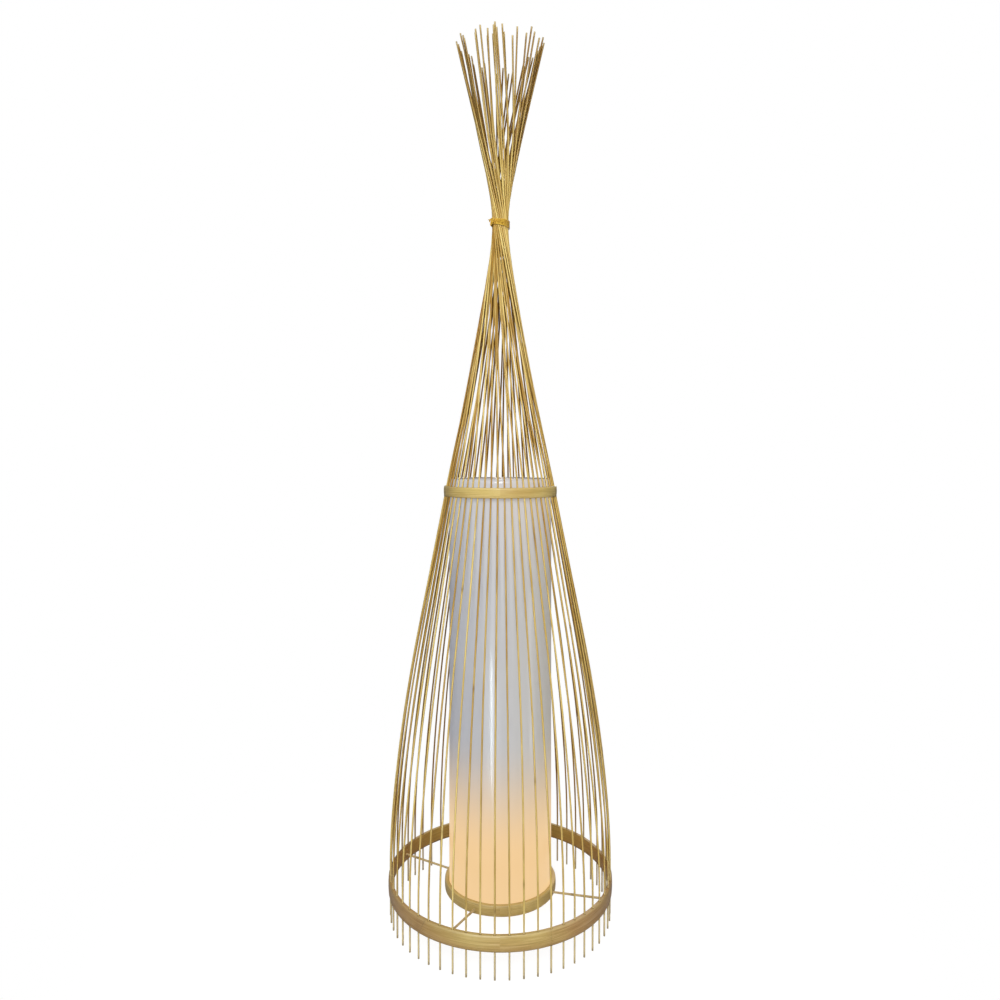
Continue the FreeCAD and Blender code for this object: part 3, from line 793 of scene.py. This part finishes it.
CORD_TURNS, CORD_PITCH, CORD_CL_R = 5, 1.30, 12.6
CORD_TOP, CORD_START_AZ, STEPS_A_TURN = 3.4, 188.0, 60
SLIP_FIRST, SLIP_GROWTH = 0.6, 4.6   # sag of the first turn on +X, and what the last adds to it
STRANDS, STRAND_R = 3, 0.40
KNOT_CENTRE = (-11.9, -10.6, TIE_Z + 0.4)


def make_cord():
    """The winding round the neck: turns of three-strand string that sag on the +X side."""
    mesh = Mesh()
    line = []
    for k in range(CORD_TURNS * STEPS_A_TURN + 1):
        t = k / STEPS_A_TURN
        a = math.radians(CORD_START_AZ + 360 * t)
        slack = 0.16 * noise.noise(Vector((t * 3.0, 4.0, 1.0)))
        z = TIE_Z + CORD_TOP - CORD_PITCH * t + slack
        slip = (SLIP_FIRST + SLIP_GROWTH * t / CORD_TURNS) * (math.cos(a) * 0.5 + 0.5)
        r = CORD_CL_R + slack
        line.append(Vector((math.cos(a) * r, math.sin(a) * r, z - slip)))
    twisted(mesh, line, STRAND_R, STRANDS, 5.2, 7, 3.0)
    mesh.finish("binding_cord_twisted", STRING, "binding_cord")


def make_knot():
    """An overhand knot with two frayed tails."""
    mesh = Mesh()
    centre = Vector(KNOT_CENTRE)
    out = Vector((centre.x, centre.y, 0)).normalized()
    side = Vector((-out.y, out.x, 0))
    up = Vector((0, 0, 1))
    loop = []
    for k in range(97):
        t = 2 * math.pi * k / 96 * 0.94
        x = math.sin(t) + 2 * math.sin(2 * t)
        y = math.cos(t) - 2 * math.cos(2 * t)
        loop.append(centre + side * (1.45 * x) + up * (1.65 * y) + out * (-math.sin(3 * t) * 0.9))
    twisted(mesh, loop, STRAND_R, STRANDS, 4.6, 6, 21.0)
    for tip, mid, extra in (
            (centre + out * 2.6 + up * 1.9 - side * 3.4, centre + out * 2.4 + up * 1.2, 1.0),
            (centre + out * 1.6 - up * 6.2 - side * 0.8, centre + out * 2.4 - up * 2.4, 2.0)):
        path = []
        for k in range(25):
            t = k / 24
            path.append(centre * (1 - t) ** 2 + mid * (2 * t * (1 - t)) + tip * t * t)
        twisted(mesh, path, 0.34, STRANDS, 4.6, 6, 33.0 + extra)
        for f in range(7):
            rng = random.Random(70 + f + int(extra) * 11)
            way = (tip - mid).normalized() + Vector([rng.uniform(-0.5, 0.5) for _ in range(3)])
            end = tip + way.normalized() * rng.uniform(0.7, 1.5)
            tube(mesh, [tip.lerp(end, q / 3) * MM for q in range(4)],
                 lambda run, total: MM * 0.12 * (1.15 - 0.8 * run / max(total, 1e-6)), 5,
                 44.0 + f, cut=lambda run, total: 0.0)
    mesh.finish("binding_knot_tied", STRING, "binding_knot")


# ------------------------------------------------------------------ shade
SHADE_R, SHADE_T, SHADE_Z0, SHADE_Z1 = 71.4, 0.8, 31.5, 600.4
SEAM_FROM_Z = 46.0           # the lap starts above the ring that holds the film


def make_shade():
    """Rolled film with a lapped seam at the back and slightly uneven top rim."""
    mesh = Mesh()
    segments, rows = 360, 120
    outer, inner = [], []
    for j in range(rows + 1):
        up = j / rows
        z = SHADE_Z0 + (SHADE_Z1 - SHADE_Z0) * up
        ring_o, ring_i = [], []
        for i in range(segments):
            a = 2 * math.pi * i / segments
            d = arc_from(math.degrees(a), 180, SHADE_R) + 5.0
            lap = 0.42 * step(d, 0.6) * math.exp(-max(d, 0) / 40.0)
            dent = noise.noise(Vector((math.sin(a) * 1.3, math.cos(a) * 1.3, up * 2.2))) * 0.32
            dent *= math.sin(math.pi * min(1.0, max(0.0, up))) ** 0.5
            r = SHADE_R + dent * 0.6 + (lap if SEAM_FROM_Z < z else 0.0) * 0.6 - 0.15
            rim = Vector((math.sin(a) * 3, math.cos(a) * 3, 8))
            dz = 0.0 if j < rows else 0.05 * noise.noise(rim)
            place = Vector((math.sin(a), -math.cos(a), 0))
            ring_o.append(mesh.vert((place * r + Vector((0, 0, z + dz))) * MM))
            ring_i.append(mesh.vert((place * (r - SHADE_T) + Vector((0, 0, z + dz))) * MM))
        outer.append(ring_o)
        inner.append(ring_i)
    for j in range(rows):
        for i in range(segments):
            k = (i + 1) % segments
            mesh.faces.append((outer[j][i], outer[j][k], outer[j + 1][k], outer[j + 1][i]))
            mesh.faces.append((inner[j][k], inner[j][i], inner[j + 1][i], inner[j + 1][k]))
    for i in range(segments):
        k = (i + 1) % segments
        mesh.faces.append((outer[-1][i], outer[-1][k], inner[-1][k], inner[-1][i]))
        mesh.faces.append((outer[0][k], outer[0][i], inner[0][i], inner[0][k]))
    mesh.finish("shade_tube_rolled", FILM, "shade_tube")


# ------------------------------------------------------------------ studio
def area_light(name, place, aim, size, power, colour, size_y):
    """A rectangular light at a place, aimed at a point; sizes in metres and power in watts."""
    data = bpy.data.lights.new(name, "AREA")
    data.shape = "RECTANGLE"
    data.size, data.size_y = size, size_y
    data.energy, data.color = power, colour
    light = bpy.data.objects.new(name, data)
    light.location = place
    way = Vector(aim) - Vector(place)
    light.rotation_euler = way.to_track_quat("-Z", "Y").to_euler()
    bpy.context.scene.collection.objects.link(light)
    light.visible_camera = False
    return light


def make_world():
    """White to the camera; for the object a dim even light, cool on the left and warm on the right."""
    world = bpy.data.worlds.new("studio")
    bpy.context.scene.world = world
    world.use_nodes = True
    nodes, links = world.node_tree.nodes, world.node_tree.links
    nodes.clear()
    out = nodes.new("ShaderNodeOutputWorld")
    seen = nodes.new("ShaderNodeBackground")
    seen.inputs["Color"].default_value = (1, 1, 1, 1)
    seen.inputs["Strength"].default_value = 1.0
    lit = nodes.new("ShaderNodeBackground")
    way = nodes.new("ShaderNodeTexCoord")
    split = nodes.new("ShaderNodeSeparateXYZ")
    links.new(way.outputs["Generated"], split.inputs[0])
    side = nodes.new("ShaderNodeMapRange")
    side.inputs["From Min"].default_value, side.inputs["From Max"].default_value = -0.8, 0.8
    links.new(split.outputs["X"], side.inputs["Value"])
    tint = nodes.new("ShaderNodeMix")
    tint.data_type = "RGBA"
    tint.inputs[6].default_value = (0.86, 0.95, 1.12, 1)
    tint.inputs[7].default_value = (1.08, 0.98, 0.84, 1)
    links.new(side.outputs["Result"], tint.inputs[0])
    links.new(tint.outputs[2], lit.inputs["Color"])
    lit.inputs["Strength"].default_value = 0.205
    path = nodes.new("ShaderNodeLightPath")
    both = nodes.new("ShaderNodeMixShader")
    links.new(path.outputs["Is Camera Ray"], both.inputs[0])
    links.new(lit.outputs[0], both.inputs[1])
    links.new(seen.outputs[0], both.inputs[2])
    links.new(both.outputs[0], out.inputs[0])


MIDDLE = (0, 0, 0.60)        # where the large lights aim


def make_lights():
    """Large soft lights before and behind, two strips that the film reflects, and the bulb."""
    area_light("key", (-0.06, -1.60, 1.42), MIDDLE, 0.45, 27, (1.0, 0.995, 0.985), 0.8)
    area_light("back", (0.25, 1.55, 1.30), MIDDLE, 0.60, 8, (1.0, 0.99, 0.97), 0.8)
    left = area_light("strip_left", (-0.133, -0.40, 0.160), (-0.012, -0.07, 0.160), 0.024,
                      0.66, (0.90, 1.0, 1.03), 0.22)
    right = area_light("strip_right", (0.61, -0.26, 0.17), (0.04, -0.06, 0.17), 0.07, 0.45,
                       (1.0, 0.97, 0.92), 0.34)
    for strip in (left, right):
        strip.visible_diffuse = False

    _, bulb_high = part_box("bulb_globe")
    glow = bpy.data.lights.new("bulb_glow", "POINT")
    glow.energy, glow.color, glow.shadow_soft_size = 1.0, (1.0, 0.72, 0.42), 0.02
    lamp = bpy.data.objects.new("bulb_glow", glow)
    lamp.location = (0, 0, bulb_high.z + 0.03)
    bpy.context.scene.collection.objects.link(lamp)


FLOOR_R, FLOOR_SIDES = 9.0, 64


def make_floor():
    floor = bpy.data.meshes.new("floor")
    corners = [2 * math.pi * k / FLOOR_SIDES for k in range(FLOOR_SIDES)]
    floor.from_pydata([(0, 0, 0)] + [(math.cos(a) * FLOOR_R, math.sin(a) * FLOOR_R, 0)
                                     for a in corners], [],
                      [(0, k + 1, (k + 1) % FLOOR_SIDES + 1) for k in range(FLOOR_SIDES)])
    floor.materials.append(floor_material())
    ground = bpy.data.objects.new("floor", floor)
    bpy.context.scene.collection.objects.link(ground)


def make_camera():
    """A level camera just above half height; the shift only frames the lamp."""
    scene = bpy.context.scene
    cam = bpy.data.cameras.new("camera")
    cam.lens, cam.sensor_width = 27.9, 36.0
    cam.shift_x, cam.shift_y = -0.0003, -0.0463
    cam.clip_start, cam.clip_end = 0.02, 40
    eye = bpy.data.objects.new("camera", cam)
    eye.location = (0.0, -1.087, 0.6351)
    eye.rotation_euler = (math.radians(90), 0, 0)
    scene.collection.objects.link(eye)
    scene.camera = eye
    scene.view_settings.view_transform = "Standard"
    scene.view_settings.look = "None"


make_splints()
make_hoops()
make_spokes()
make_cord()
make_knot()
make_shade()
make_world()
make_lights()
make_floor()
make_camera()
